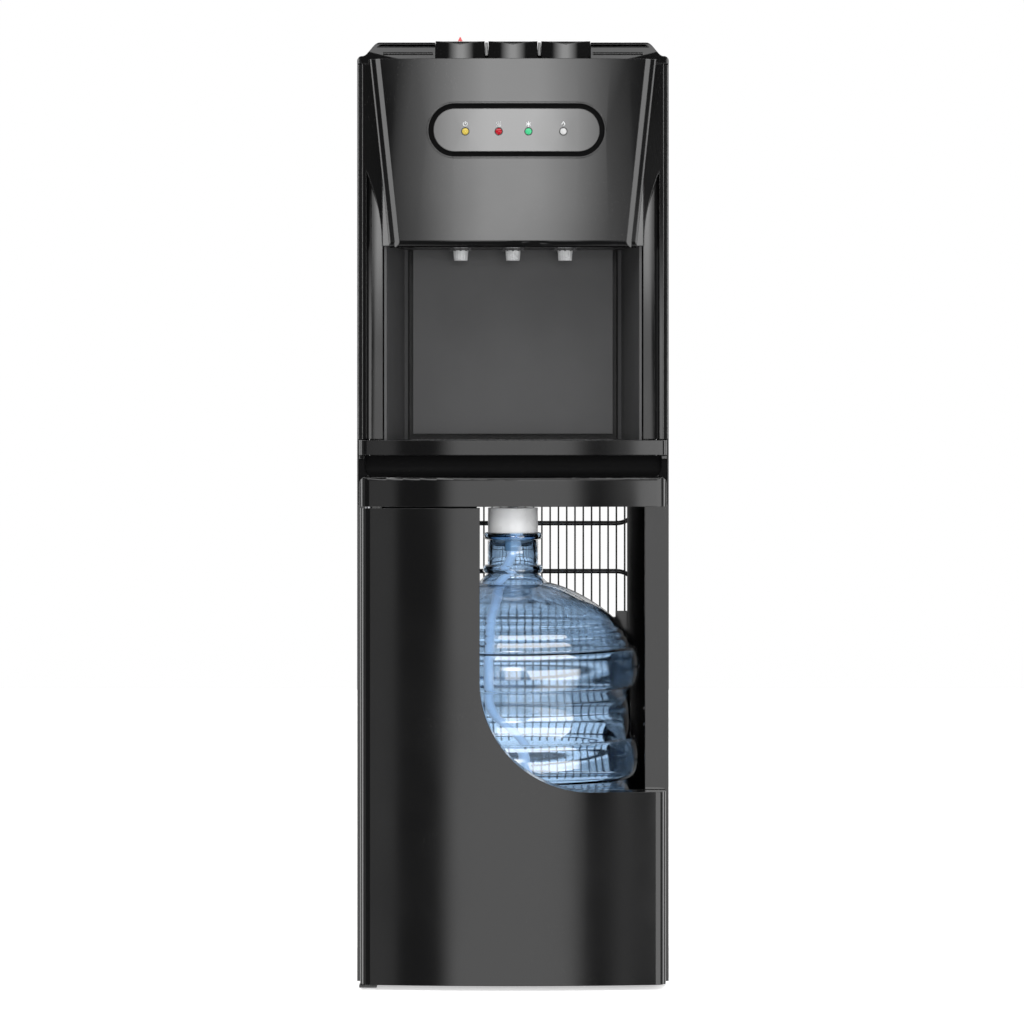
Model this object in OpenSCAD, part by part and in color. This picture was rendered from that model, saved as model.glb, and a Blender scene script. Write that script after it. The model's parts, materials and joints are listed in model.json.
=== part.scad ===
// Floor-standing water dispenser that draws from a bottle in its lower cupboard.
// The origin is under the middle of the cabinet on the floor, +Z is up and the front faces -Y.

/* [Cabinet] */
// Width over the two side panels
cabinet_w = 322; // [320:1:326]
// Depth from the middle of the door to the rear condenser wires
cabinet_d = 360; // [360:1:372]
// Height of the tops of the push buttons
cabinet_h = 976.5; // [976:0.5:980]
// Radius of the shallow bow that all the front faces share
bow_r = 1300; // [1200:50:1500]
// Thickness of the painted sheet steel
sheet = 1.5; // [1.2:0.1:1.6]

/* [Door] */
// Height of the seam between the door and the fascia
seam_z = 496; // [494:1:498]
// Left edge of the door's cut-away
cutaway_x = -34.2; // [-50:1:-20]
// Lower edge of the door's cut-away
cutaway_z = 203.8; // [190:1:220]
// Radius of the cut-away's inner corner
cutaway_r = 114; // [60:1:120]

/* [Niche] */
// Height of the drip tray's rim
tray_top = 565; // [563:1:566]
// Height of the niche ceiling
ceiling_z = 766; // [762:1:768]
// Half width of the niche's back wall
niche_back_half = 111; // [108:1:113]
// Half width of the niche's mouth
niche_mouth_half = 130.5; // [128:1:131]

/* [Buttons and taps] */
// Distance between neighbouring buttons and spouts
tap_pitch = 54.5; // [54:0.5:55]
// Width of one push button
button_w = 50.5; // [49:0.5:50.5]

/* [Bottle] */
// Radius of the bottle over its ribs
bottle_r = 135; // [132:0.5:135.5]
// Height of the top of the bottle's neck
bottle_top = 464.8; // [460:0.5:466]

/* [Condenser] */
// Distance between the passes of the condenser tube
pass_pitch = 53.5; // [50:0.5:54]
// Distance between the condenser wires
wire_pitch = 9.24; // [9:0.02:9.4]

/* [Hidden] */
$fn = 96;
bow_fn = 1440;

// Colours
gloss_black = [0.08, 0.08, 0.09];
matt_grey = [0.24, 0.24, 0.25];
painted_black = [0.12, 0.12, 0.13];
steel = [0.7, 0.71, 0.73];
bottle_blue = [0.35, 0.6, 0.85, 0.45];

// Main planes
half_w = cabinet_w / 2;
front_y = -cabinet_d / 2;
rear_y = cabinet_d / 2;
back_y = rear_y - 19;
back_inside = back_y - sheet;
bow_y = front_y + bow_r;
flange_y = front_y + 33;
flange_half = 136.5;
pan_z = 6;
pan_floor = 10;
shelf_z = 501;
side_top = 953;
cover_z = cabinet_h - 1;

// Door
door_half = half_w - 3.5;
door_bottom = 5.5;
door_top = seam_z - 0.8;
door_back = front_y + 28;
liner_back = front_y + 30;
edge_r = 12;
skin = 2.2;
hinge_x = -149;
hinge_y = front_y + 19;
pin_r = 3;
pin_gap = 0.05;
boss_r = 7;

// Front bands above the door
fascia_bottom = seam_z + 0.8;
fascia_top = 549;
fascia_back = front_y + 29;
scoop_z = 540.6;
scoop_r = 13.3;
bulge_r = 4;
bulge_top = fascia_bottom + 31.2;
corner_r = 9;
scoop_half = half_w - 8;
scoop_corner_r = 11;
lip_bottom = fascia_top + 0.8;
band_half = half_w - 2.5;
column_z = tray_top + 1;
column_back = flange_y - 0.4;
column_front = column_back - 13.1;
column_in = niche_mouth_half + 4;
ridge_r = 2.5;
ridge_at = [half_w - 7.7, column_back - 6.8];
face_turn = 11.3;
flank_turn = 62;
cove_r = 80;
cove_back = column_back - 3.2;

// Head
head_bottom = ceiling_z - 3;
head_top = 957;
face_top_half = 136.5;
face_bottom_half = 116;
face_inset = 2;
face_skin = 3.5;
head_back = column_front - 0.5;
plate_back = head_back + 2.5;

// Top cover
shoulder_top = 961;
rise_w = 17;
cover_front_y = front_y + 17;
head_half = face_top_half + 11.4;

// Oval display and its lamps
display_x = 3.7;
display_z = 883.4;
display_w = 181;
display_h = 54.5;
groove_w = 5.2;
lamp_z = 881.9;
lamp_r = 3.3;
lamp_x = [-48.9, -14.6, 15.9, 51.7];
board_y = front_y + 14;

// Buttons and taps
tap_x = [-tap_pitch, 0, tap_pitch];
tap_y = front_y + 78;
button_front = plate_back + 1;
button_round = 3.5;
button_bow_r = 120;
shaft_y = -50;
shaft_z = 957;
shaft_r = 2.5;
press_z = 936;
bay_half = tap_pitch + button_w / 2 + 0.5;
bay_back = shaft_y + 8;
lock_y = button_front + 22;
rib_w = tap_pitch - button_w - 1.2;

// Niche and tray
niche_back = -32;
plate_half = niche_back_half - 5;
niche_front = fascia_back + 0.8;
niche_floor = lip_bottom - 0.5;
wall = 2.5;
tray_back = niche_back - 5;
tray_front = front_y + 24;
tray_bottom = lip_bottom;
grille_z = tray_top - 3.2;

// Condenser
tube_r = 2.6;
wire_r = 0.9;
wire_gap = 0.03;
tube_y = rear_y - 2 * wire_r - tube_r - wire_gap;
pass_count = 12;
wire_count = 30;
first_pass = 201.5;
bend_x = 115;
wire_low = first_pass - 17;
wire_high = first_pass + (pass_count - 1) * pass_pitch + 17;

// Tanks and compressor
cold_x = 68;
cold_y = 62;
hot_x = -92;
hot_y = 70;
comp_x = 72;
comp_y = 85;
mount_x = [comp_x - 47, comp_x + 47];
mount_y = [comp_y - 35, comp_y + 35];

// Bottle wall
bottle_z = pan_floor;
bottle_wall = 1.5;
rib_in = 9;
rib_half = 22;
rib_z = [84, 160, 226, 322];
shoulder_in = 37;
shoulder_z = 345;
shoulder_h = 66;
neck_r = 27;

// Opening in the lower back panel, which narrows below the bottle's shoulder
vent_half = 127;
vent_low_half = 114;
vent_bottom = 60;
vent_step = 372;
vent_top = 490;

// Hose routes, from end to end
dip_route = [
    [0, 0, 449.5], [0, 0, 444], [-3, 0, 434], [-10, 0, 416], [-20, 0, 390], [-25, 0, 350],
    [-26, 0, 306], [-19, 0, 272], [-3, 0, 246], [14, 0, 216], [28, 0, 180], [34, 0, 140],
    [32, 0, 100], [26, 0, 65], [20, 0, 40]
];
supply_route = [
    [0, 0, 491], [0, 1, 504], [-1, 8, 520], [-10, 20, 536], [-28, 30, 546], [-50, 36, 548],
    [-70, 36, 547], [-82, 40, 546], [-85, 49, 546]
];
cold_fill_route = [
    [-85, 80, 575.6], [-85, 80, 600], [-76, 80, 640], [-50, 82, 700], [-10, 80, 745], [40, 70, 765],
    [62, 62, 776], [66, 60, 787]
];
hot_fill_route = [
    [-104, 96, 575.6], [-104, 96, 590], [-112, 98, 620], [-114, 98, 680], [-106, 90, 750],
    [-96, 76, 782], [-92, 70, 798.6]
];

// ---- shared shapes -------------------------------------------------------------------------------

// Plan outline with a bowed front that is set back by inset, and rounded front edges
module bowed_plan(half, inset, back, r) {
    front_r = bow_r - inset;
    edge_y = bow_y - sqrt(pow(front_r - r, 2) - pow(half - r, 2));
    meet_x = (half - r) * front_r / (front_r - r);
    intersection() {
        translate([0, bow_y]) circle(r = front_r, $fn = bow_fn);
        translate([-meet_x, front_y]) square([2 * meet_x, back - front_y]);
    }
    intersection() {
        for (side = [-1, 1]) translate([side * (half - r), edge_y]) circle(r = r);
        translate([-half, edge_y - r]) square([2 * half, back - edge_y + r]);
    }
    translate([-half, edge_y]) square([2 * half, back - edge_y]);
}

// A side-view section, drawn as (inset from the front, height), swept along the front's bow
module bow_sweep() {
    translate([0, bow_y, 0])
        rotate_extrude(start = 262, angle = 16, $fn = bow_fn)
            translate([bow_r, 0]) mirror([1, 0]) children();
}

// A front-view outline, drawn as (x, z), pushed back from y0 to y1
module front_extrude(y0, y1) {
    translate([0, y1, 0]) rotate([90, 0, 0]) linear_extrude(y1 - y0) children();
}

// A side-view outline, drawn as (y, z), pushed from x0 to x1
module side_extrude(x0, x1) {
    translate([x0, 0, 0]) rotate([90, 0, 90]) linear_extrude(x1 - x0) children();
}

module box(low, high) {
    translate(low) cube(high - low);
}

// A rod between two heights
module post(x, y, z0, z1, r) {
    translate([x, y, z0]) cylinder(r = r, h = z1 - z0);
}

// A rod that points along +Y
module rod_y(x, y0, y1, z, r) {
    translate([x, y0, z]) rotate([-90, 0, 0]) cylinder(r = r, h = y1 - y0);
}

// A rod that points along +X
module rod_x(x0, x1, y, z, r) {
    translate([x0, y, z]) rotate([0, 90, 0]) cylinder(r = r, h = x1 - x0);
}

// Long round-ended slot shape around the origin
module stadium(w, h) {
    for (side = [-1, 1]) translate([side * (w - h) / 2, 0]) circle(r = h / 2);
    square([w - h, h], center = true);
}

// A smooth curve through the route's points, with steps points per stretch
function clamp_at(p, i) = p[max(0, min(len(p) - 1, i))];
function smooth_point(p, i, t) =
    let (a = clamp_at(p, i - 1), b = p[i], c = p[i + 1], d = clamp_at(p, i + 2))
    0.5 * (2 * b + t * (c - a) + t * t * (2 * a - 5 * b + 4 * c - d) + t * t * t * (3 * b - a - 3 * c + d));
function smooth_route(p, steps) = concat(
    [for (i = [0:len(p) - 2], k = [0:steps - 1]) smooth_point(p, i, k / steps)], [p[len(p) - 1]]);

function unit(v) = v / norm(v);
function heading(p, i) = unit(clamp_at(p, i + 1) - clamp_at(p, i - 1));

// Round tube around a line of points, whose cross-sections keep to the side direction
module swept_tube(line, r, sides, side = [0, 1, 0]) {
    rings = [for (i = [0:len(line) - 1])
        let (along = heading(line, i), across = unit(cross(along, side)), up = cross(across, along))
        for (k = [0:sides - 1])
            line[i] + r * (cos(360 * k / sides) * across + sin(360 * k / sides) * up)];
    last = (len(line) - 1) * sides;
    faces = concat(
        [[for (k = [0:sides - 1]) k]],
        [for (i = [0:len(line) - 2], k = [0:sides - 1])
            let (a = i * sides + k, b = i * sides + (k + 1) % sides) [a, a + sides, b + sides, b]],
        [[for (k = [sides - 1:-1:0]) last + k]]);
    polyhedron(points = rings, faces = faces);
}

// Points of a coil around the Z axis
function coil_z(r, rise, turns, steps) =
    [for (i = [0:turns * steps]) [r * cos(360 * i / steps), r * sin(360 * i / steps), rise * i / steps]];

// ---- cabinet -------------------------------------------------------------------------------------

module base_pan() color(painted_black) difference() {
    union() {
        box([-half_w + 1.8, flange_y + 1.8, pan_z], [half_w - 1.8, back_inside - 0.3, 24]);
        box([hinge_x - 9, hinge_y - 9, 2.5], [hinge_x + 9, flange_y + 26, 5]);
        box([hinge_x - 9, flange_y + 6, 2.5], [hinge_x + 9, flange_y + 26, pan_z]);
    }
    box([-half_w + 3.8, flange_y + 3.8, pan_floor], [half_w - 3.8, back_inside - 2.3, 25]);
    post(hinge_x, hinge_y, 0, 6, pin_r + 0.02);
}

module feet() color("dimgray") for (x = [-118, 118], y = [-112, 130]) difference() {
    post(x, y, 0, pan_z, 15);
    post(x, y, -1, 1.5, 9);
}

module side_panel() color(painted_black) {
    box([half_w - sheet, flange_y, pan_z], [half_w, back_y, side_top]);
    box([flange_half, flange_y, pan_z], [half_w - sheet, flange_y + sheet, seam_z + 2]);
    box([flange_half, flange_y + sheet, pan_z + 20], [flange_half + sheet, flange_y + 14, seam_z + 2]);
}

module left_side_panel() mirror([1, 0, 0]) side_panel();
module right_side_panel() side_panel();

// Clearance holes for the back screws of one panel
module screw_holes(levels) {
    for (x = [-152, 152], z = levels) rod_y(x, back_inside - 1, back_y + 1, z, 2.1);
}

// Holes for the two rivets at each end of one condenser pass
module rivet_holes(pass) {
    for (x = [-147, 147], z = [-9, 9]) rod_y(x, back_inside - 1, back_y + 3, pass_z(pass) + z, 1.9);
}

module lower_back_panel() color(painted_black) difference() {
    union() {
        box([-half_w + 1.8, back_inside, pan_z], [half_w - 1.8, back_y, 505]);
        box([-vent_half, back_inside - 3, vent_step - 22], [vent_half, back_inside, vent_step]);
    }
    box([-vent_half, back_inside - 4, vent_step], [vent_half, back_y + 1, vent_top]);
    box([-vent_low_half, back_inside - 4, vent_bottom], [vent_low_half, back_y + 1, vent_step + 1]);
    screw_holes([60, 310, 440]);
    rivet_holes(1);
}

module upper_back_panel() color(painted_black) difference() {
    union() {
        box([-half_w + 1.8, back_inside, 505.6], [half_w - 1.8, back_y, side_top]);
        for (x = [-60, 60]) box([x - 14, back_y, 889], [x + 14, back_y + 2, 925]);
    }
    for (x = [-60, 60]) box([x - 10, back_inside - 1, 893], [x + 10, back_y + 3, 921]);
    for (x = [-70, 70], row = [0:8]) {
        box([x - 45, back_inside - 1, 540 + 14 * row], [x + 45, back_y + 1, 545 + 14 * row]);
    }
    rod_y(-115, back_inside - 1, back_y + 1, 838, 8.2);
    rod_y(95, back_inside - 1, back_y + 1, 838, 9.2);
    screw_holes([560, 690, 930]);
    rivet_holes(10);
}

module mid_shelf() color(steel) difference() {
    box([-half_w + 1.8, flange_y + 1.8, shelf_z], [half_w - 1.8, back_inside - 0.3, shelf_z + sheet]);
    post(0, 0, shelf_z - 1, shelf_z + 3, 13);
    for (x = mount_x, y = mount_y) post(x, y, shelf_z - 1, shelf_z + 3, 4.1);
}

// Glossy moulding with a rounded bulge below and a finger scoop under the drip tray
module front_fascia() color(gloss_black) {
    fascia_moulding();
    seam_lip();
}

// What is cut from an upper corner of the bulge to round it
module bulge_corner() translate([band_half - corner_r, bulge_top - corner_r]) difference() {
    square([20, fascia_top - 3 - bulge_top + corner_r]);
    circle(r = corner_r);
}

// Front view of the finger scoop, open at the top and with rounded lower corners
module scoop_outline() translate([0, scoop_z - scoop_r - 1]) {
    inner_half = scoop_half - scoop_corner_r;
    translate([-inner_half, 0]) square([2 * inner_half, 40]);
    translate([-scoop_half, scoop_corner_r]) square([2 * scoop_half, 40]);
    for (side = [-1, 1]) translate([side * inner_half, scoop_corner_r]) circle(r = scoop_corner_r);
}

module fascia_moulding() difference() {
    intersection() {
        bow_sweep() {
            translate([0, fascia_bottom]) square([29, bulge_top - bulge_r - fascia_bottom]);
            translate([bulge_r, bulge_top - bulge_r]) circle(r = bulge_r);
            translate([bulge_r, fascia_bottom]) square([20, bulge_top - fascia_bottom]);
            translate([6, fascia_bottom]) square([23, fascia_top - fascia_bottom]);
        }
        linear_extrude(600) bowed_plan(band_half, 0, fascia_back, edge_r);
    }
    intersection() {
        bow_sweep() translate([4, scoop_z]) circle(r = scoop_r);
        front_extrude(front_y - 1, front_y + 40) scoop_outline();
    }
    intersection() {
        bow_sweep() translate([3, fascia_bottom + 3]) square([30, 19]);
        box([-146, front_y, fascia_bottom], [146, 0, fascia_top]);
    }
    for (side = [0, 1]) mirror([side, 0, 0]) front_extrude(front_y - 1, front_y + 20) bulge_corner();
    post(hinge_x, hinge_y, 490, 506, pin_r + 0.02);
}

// Lip that closes the gap over the door's top edge from behind
module seam_lip() {
    left = 2 - flange_half;
    right = cutaway_x - 3;
    box([left, liner_back + 0.6, door_top - 7], [right, flange_y - 0.6, fascia_bottom + 7]);
    box([left, fascia_back - 1, fascia_bottom + 0.5], [right, flange_y - 0.6, fascia_bottom + 3]);
}

// Upright front column: a ridge along its outer side, and a cove that ends under the head's flank
module column_plan() {
    translate(ridge_at) circle(r = ridge_r);
    polygon([
        [column_in, column_back], [column_in, column_front],
        ridge_at + ridge_r * [sin(face_turn), -cos(face_turn)],
        ridge_at + ridge_r * [sin(flank_turn), -cos(flank_turn)],
        [half_w - 1.5, column_back - 0.4], [half_w - 0.4, column_back]
    ]);
}

// Plan of the cove: a wide shallow arc with a tight one at its outer end
module cove_plan() {
    intersection() {
        translate([column_in + 2.5, cove_back - cove_r]) circle(r = cove_r, $fn = 360);
        translate([column_in - 20, front_y - 80]) square([31.5, 200]);
    }
    translate([column_in + 11.5, cove_back - 5.8]) circle(r = 5);
    translate([column_in - 20, front_y - 10]) square([36.5, cove_back - 5.8 - front_y + 10]);
}

module column() color(gloss_black) difference() {
    translate([0, 0, column_z]) linear_extrude(side_top - column_z) column_plan();
    intersection() {
        translate([0, 0, column_z - 1]) linear_extrude(300) cove_plan();
        union() {
            box([column_in - 20, front_y, column_z - 1], [half_w, 0, ceiling_z]);
            rod_y(325, front_y, 0, ceiling_z, 190);
        }
    }
}

module left_column() mirror([1, 0, 0]) column();
module right_column() column();

// Plan of the splayed niche, grown outwards by the given amount
module niche_plan(grow, front) {
    polygon([
        [-niche_mouth_half - grow, front], [niche_mouth_half + grow, front],
        [niche_back_half + 4 + grow, niche_back - 6], [niche_back_half + grow - 1, niche_back + grow],
        [1 - niche_back_half - grow, niche_back + grow], [-niche_back_half - 4 - grow, niche_back - 6]
    ]);
}

// Splayed liner whose back wall carries a raised plate, with a slot left along the plate's edges
module niche_liner() color(matt_grey) difference() {
    translate([0, 0, niche_floor - wall]) linear_extrude(ceiling_z - niche_floor + wall)
        niche_plan(wall, niche_front);
    difference() {
        translate([0, 0, niche_floor]) linear_extrude(300) niche_plan(0, niche_front - 1);
        box([-plate_half, niche_back - 4, tray_top + 5.5], [plate_half, niche_back + wall, 900]);
    }
}

module niche_ceiling() color(matt_grey) difference() {
    union() {
        box([-niche_mouth_half - 2, plate_back + 1, ceiling_z],
            [niche_mouth_half + 2, niche_back, ceiling_z + 3]);
        for (x = tap_x) {
            post(x, tap_y, ceiling_z - 3.5, ceiling_z, 11.5);
            for (a = [0:30:330])
                post(x + 11.3 * cos(a), tap_y + 11.3 * sin(a), ceiling_z - 4.2, ceiling_z, 1);
        }
    }
    for (x = tap_x) post(x, tap_y, ceiling_z - 6, ceiling_z + 4, 8.3);
}

// ---- head ----------------------------------------------------------------------------------------

// Side section of the head's front: upright face and a rounded lower edge
module head_section(inset) {
    translate([inset + 7, head_bottom + 7]) circle(r = 7);
    translate([inset, head_bottom + 7]) square([40, head_top - head_bottom - 7]);
    translate([inset + 7, head_bottom]) square([40, 8]);
}

// Front view of one tier of the head, spread sideways from the narrowest face
module head_outline(spread) {
    polygon([
        [-face_bottom_half - spread, head_bottom], [face_bottom_half + spread, head_bottom],
        [face_top_half + spread, head_top], [-face_top_half - spread, head_top]
    ]);
}

// One tier of the head with both its slanting side edges bevelled
module head_tier(spread, inset, bevel) difference() {
    intersection() {
        bow_sweep() head_section(inset);
        front_extrude(front_y - 1, head_back) head_outline(spread);
    }
    low = [face_bottom_half + spread - bevel, head_bottom];
    high = [face_top_half + spread - bevel, head_top];
    low_y = bow_y - sqrt(pow(bow_r - inset, 2) - pow(low[0], 2));
    high_y = bow_y - sqrt(pow(bow_r - inset, 2) - pow(high[0], 2));
    slope = [high[0] - low[0], high_y - low_y, high[1] - low[1]];
    for (side = [0, 1]) mirror([side, 0, 0])
        translate([low[0], low_y, low[1]])
            rotate([-asin(slope[1] / norm(slope)), atan(slope[0] / slope[2]), 0])
                rotate([0, 0, 45]) translate([-60, -60, -30]) cube([120, 60, 260]);
}

module head_front_panel() color(gloss_black) difference() {
    union() {
        head_tier(5.5, face_inset, 5.5);
        head_tier(10.8, face_inset + 4.5, 1.6);
        box([-column_in + 0.3, head_back - 3, head_bottom + 2], [column_in - 0.3, plate_back, head_top]);
        intersection() {
            bow_sweep() translate([face_inset - 0.5, display_z - 40]) square([2, 80]);
            front_extrude(front_y, 0) translate([display_x, display_z]) stadium(display_w + 3, display_h + 3);
        }
    }
    intersection() {
        bow_sweep() translate([face_inset + face_skin, head_bottom + 10])
            square([40, head_top - head_bottom - 16]);
        box([-108, front_y, head_bottom], [108, 0, head_top - 4]);
    }
    front_extrude(front_y - 2, 0) translate([display_x, display_z]) stadium(display_w, display_h);
}

module display_window() color(gloss_black) difference() {
    union() {
        intersection() {
            bow_sweep() translate([face_inset, display_z - 40]) square([face_skin + 1, 80]);
            front_extrude(front_y, 0) translate([display_x, display_z])
                stadium(display_w - 2 * groove_w, display_h - 2 * groove_w);
        }
        intersection() {
            bow_sweep() translate([face_inset + face_skin + 0.2, display_z - 40]) square([2.3, 80]);
            front_extrude(front_y, 0) translate([display_x, display_z]) stadium(display_w + 8, display_h + 8);
        }
    }
    for (x = lamp_x) rod_y(x, front_y - 1, 0, lamp_z, lamp_r + 0.6);
}

// Small domed lamp that shows through the display window
module lamp(x) {
    intersection() {
        rod_y(x, front_y, board_y, lamp_z, lamp_r);
        union() {
            translate([x, front_y + face_inset + 4.6, lamp_z]) sphere(r = 5.6);
            rod_y(x, front_y + face_inset + 4, board_y, lamp_z, lamp_r);
        }
    }
}

module lamp_power() color("gold") lamp(lamp_x[0]);
module lamp_heating() color("crimson") lamp(lamp_x[1]);
module lamp_cold() color("springgreen") lamp(lamp_x[2]);
module lamp_empty() color("white") lamp(lamp_x[3]);

module lamp_board() color("darkgreen") {
    box([-64, board_y, lamp_z - 14], [68, board_y + 1.6, lamp_z + 14]);
    box([-20, board_y + 1.6, lamp_z - 10], [8, board_y + 5, lamp_z - 2]);
}

// Front view of the top cover: a round shoulder, then an S-curve up to the raised middle
function shoulder_rise(t) = shoulder_top + (cover_z - shoulder_top) * t * t * (3 - 2 * t);
module cover_outline(inset) {
    for (side = [-1, 1]) translate([side * (half_w - 5), shoulder_top - 5]) circle(r = 5 - inset);
    translate([0, -inset]) polygon(concat(
        [[-half_w + 5, side_top - 10], [-half_w + 5, shoulder_top]],
        [for (k = [0:12]) [-half_w + 6 + inset + rise_w * k / 12, shoulder_rise(k / 12)]],
        [for (k = [12:-1:0]) [half_w - 6 - inset - rise_w * k / 12, shoulder_rise(k / 12)]],
        [[half_w - 5, shoulder_top], [half_w - 5, side_top - 10]]));
    translate([inset - half_w, side_top - 10])
        square([2 * (half_w - inset), shoulder_top - 5 - side_top + 10]);
}

// Side view of the top cover's front, which leans back, with two beads across it
module cover_front() {
    polygon([
        [cover_front_y, side_top], [cover_front_y + 2, head_top], [cover_front_y + 9, cover_z - 2],
        [cover_front_y + 13, cover_z + 1], [back_y, cover_z + 1], [back_y, side_top]
    ]);
}

module top_cover() color(gloss_black) {
    cover_shell();
    for (side = [-1, 1]) button_rib(side * tap_pitch / 2);
}

module cover_shell() difference() {
    union() {
        intersection() {
            front_extrude(front_y, back_y) cover_outline(0);
            translate([0, 0, side_top + 0.4]) linear_extrude(40) bowed_plan(half_w, 14, back_y, 7);
            side_extrude(-half_w - 1, half_w + 1) cover_front();
        }
        for (side = [0, 1], bead = [[2.6, 6.2, 1.4], [6.2, 12.6, 0.9]]) mirror([side, 0, 0])
            rod_x(bay_half + 2, 134, cover_front_y + 2.2 + bead[0], head_top + bead[1], bead[2]);
    }
    front_extrude(front_y + 25, back_y - 2.5) cover_outline(2.5);
    box([-head_half, front_y, side_top - 1], [head_half, column_back + 2, head_top + 0.5]);
    box([-bay_half, front_y, side_top - 1], [bay_half, bay_back, cabinet_h]);
}

// Rib between two buttons, which also carries their shaft
module button_rib(x) difference() {
    union() {
        box([x - rib_w / 2, button_front + 1, shaft_z + 4.5], [x + rib_w / 2, bay_back + 1, cover_z - 0.5]);
        box([x - rib_w / 2, shaft_y - 7, shaft_z - 7], [x + rib_w / 2, shaft_y + 7, shaft_z + 5]);
    }
    rod_x(x - 3, x + 3, shaft_y, shaft_z, shaft_r + 0.02);
}

// ---- buttons and taps ----------------------------------------------------------------------------

module button(x) {
    front = button_front;
    difference() {
        union() {
            intersection() {
                side_extrude(x - button_w / 2, x + button_w / 2) {
                    translate([front + button_round, cabinet_h - button_round]) circle(r = button_round);
                    translate([front, 950]) square([20, cabinet_h - button_round - 950]);
                    translate([front + button_round, 950])
                        square([shaft_y - front - button_round + 6, cabinet_h - 950]);
                }
                post(x, front + button_bow_r, 940, 990, button_bow_r, $fn = 360);
            }
            post(x, tap_y, press_z + 0.4, cabinet_h - 2, 6);
        }
        difference() {
            box([x - button_w / 2 + 2.2, front + 4.5, 940],
                [x + button_w / 2 - 2.2, shaft_y + 20, cabinet_h - 2.5]);
            post(x, tap_y, press_z, 980, 6);
            for (side = [-15, 15])
                box([x + side - 3, shaft_y - 6, 948], [x + side + 3, shaft_y + 6, 980]);
        }
        rod_x(x - 30, x + 30, shaft_y, shaft_z, shaft_r + pin_gap);
        box([x - button_w, shaft_y - 20, 940], [x + button_w, shaft_y + 20, shaft_z - 5]);
    }
}

module button_hot() color(gloss_black) difference() {
    button(tap_x[0]);
    box([tap_x[0] - 2.3, lock_y - 5, 970], [tap_x[0] + 2.3, lock_y + 15, 990]);
}
module button_room() color(gloss_black) button(tap_x[1]);
module button_cold() color(gloss_black) button(tap_x[2]);

// Red ridge that slides in a slot of the hot button
module child_lock() color("red") {
    side = 2.7;
    front_extrude(lock_y - 11, lock_y + 12) translate([tap_x[0], cabinet_h + 0.3])
        polygon([[-side, 0], [side, 0], [0.4, 4.7], [-0.4, 4.7]]);
    box([tap_x[0] - 1.9, lock_y - 4, cabinet_h - 4], [tap_x[0] + 1.9, lock_y + 4, cabinet_h + 0.4]);
    box([tap_x[0] - 4, lock_y - 4, cabinet_h - 5], [tap_x[0] + 4, lock_y + 4, cabinet_h - 2.8]);
}

module button_shaft() color(steel)
    rod_x(-bay_half + 0.5, bay_half - 0.5, shaft_y, shaft_z, shaft_r);

// One torsion spring around the shaft under each button
module button_springs() color("silver") for (x = tap_x)
    translate([x - 8, shaft_y, shaft_z]) rotate([0, 90, 0])
        swept_tube(coil_z(3.8, 3.1, 5, 14), 0.6, 6, [0, 0, 1]);

module plunger(x) color("white") {
    post(x, tap_y, 912, press_z - 3, 4.2);
    intersection() {
        post(x, tap_y, press_z - 4, press_z, 4.2);
        translate([x, tap_y, press_z - 7]) sphere(r = 7);
    }
}

module plunger_hot() plunger(tap_x[0]);
module plunger_room() plunger(tap_x[1]);
module plunger_cold() plunger(tap_x[2]);

module valve_block() color("ivory") difference() {
    union() {
        for (x = tap_x) {
            post(x, tap_y, 792, 926, 12);
            post(x, tap_y, ceiling_z + 12, 793, 7);
            post(x, tap_y, ceiling_z, ceiling_z + 13, 4.8);
            rod_y(x, tap_y, tap_y + 40, 880, 5);
        }
        box([-tap_pitch - 20, tap_y - 6, 815], [tap_pitch + 20, tap_y + 6, 821]);
        for (side = [-1, 1]) box([side * 74 - 6, tap_y - 6, ceiling_z + 3], [side * 74 + 6, tap_y + 6, 821]);
    }
    for (x = tap_x) {
        post(x, tap_y, 905, 930, 4.8);
        post(x, tap_y, ceiling_z - 1, 906, 3);
    }
}

module spouts() color("gainsboro") for (x = tap_x) difference() {
    union() {
        translate([x, tap_y, ceiling_z - 14]) cylinder(r1 = 7.3, r2 = 8.1, h = 12.5);
        post(x, tap_y, ceiling_z - 2, ceiling_z + 9, 8.1);
    }
    post(x, tap_y, ceiling_z - 15, ceiling_z + 10, 5);
}

// ---- water and cooling system --------------------------------------------------------------------

// Round tank with domed ends, from z0 to z1
module tank(x, y, z0, z1, r) translate([x, y, 0]) rotate_extrude() {
    translate([0, z0 + 10]) square([r, z1 - z0 - 20]);
    translate([0, z0]) square([r - 10, z1 - z0]);
    for (z = [z0 + 10, z1 - 10]) intersection() {
        translate([r - 10, z]) circle(r = 10);
        square([r, z1 + 20]);
    }
}

module cold_tank() color(steel) difference() {
    tank(cold_x, cold_y, 806, 950, 60);
    tank(cold_x, cold_y, 808, 948, 58.8);
}

module evaporator_coil() color("peru") translate([cold_x, cold_y, 830])
    swept_tube(coil_z(64.2, 14, 6, 24), 3, 8, [0, 0, 1]);

module insulation_jacket() color("whitesmoke") difference() {
    post(cold_x, cold_y, 788, 958, 84);
    post(cold_x, cold_y, 798, 953, 69);
}

module hot_tank() color(steel) difference() {
    tank(hot_x, hot_y, 800, 930, 50);
    tank(hot_x, hot_y, 801.2, 928.8, 48.8);
}

module heater_band() color("goldenrod") difference() {
    union() {
        post(hot_x, hot_y, 830, 862, 53.5);
        box([hot_x - 9, hot_y - 60, 838], [hot_x + 9, hot_y - 45, 854]);
    }
    post(hot_x, hot_y, 825, 870, 50.1);
}

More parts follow.
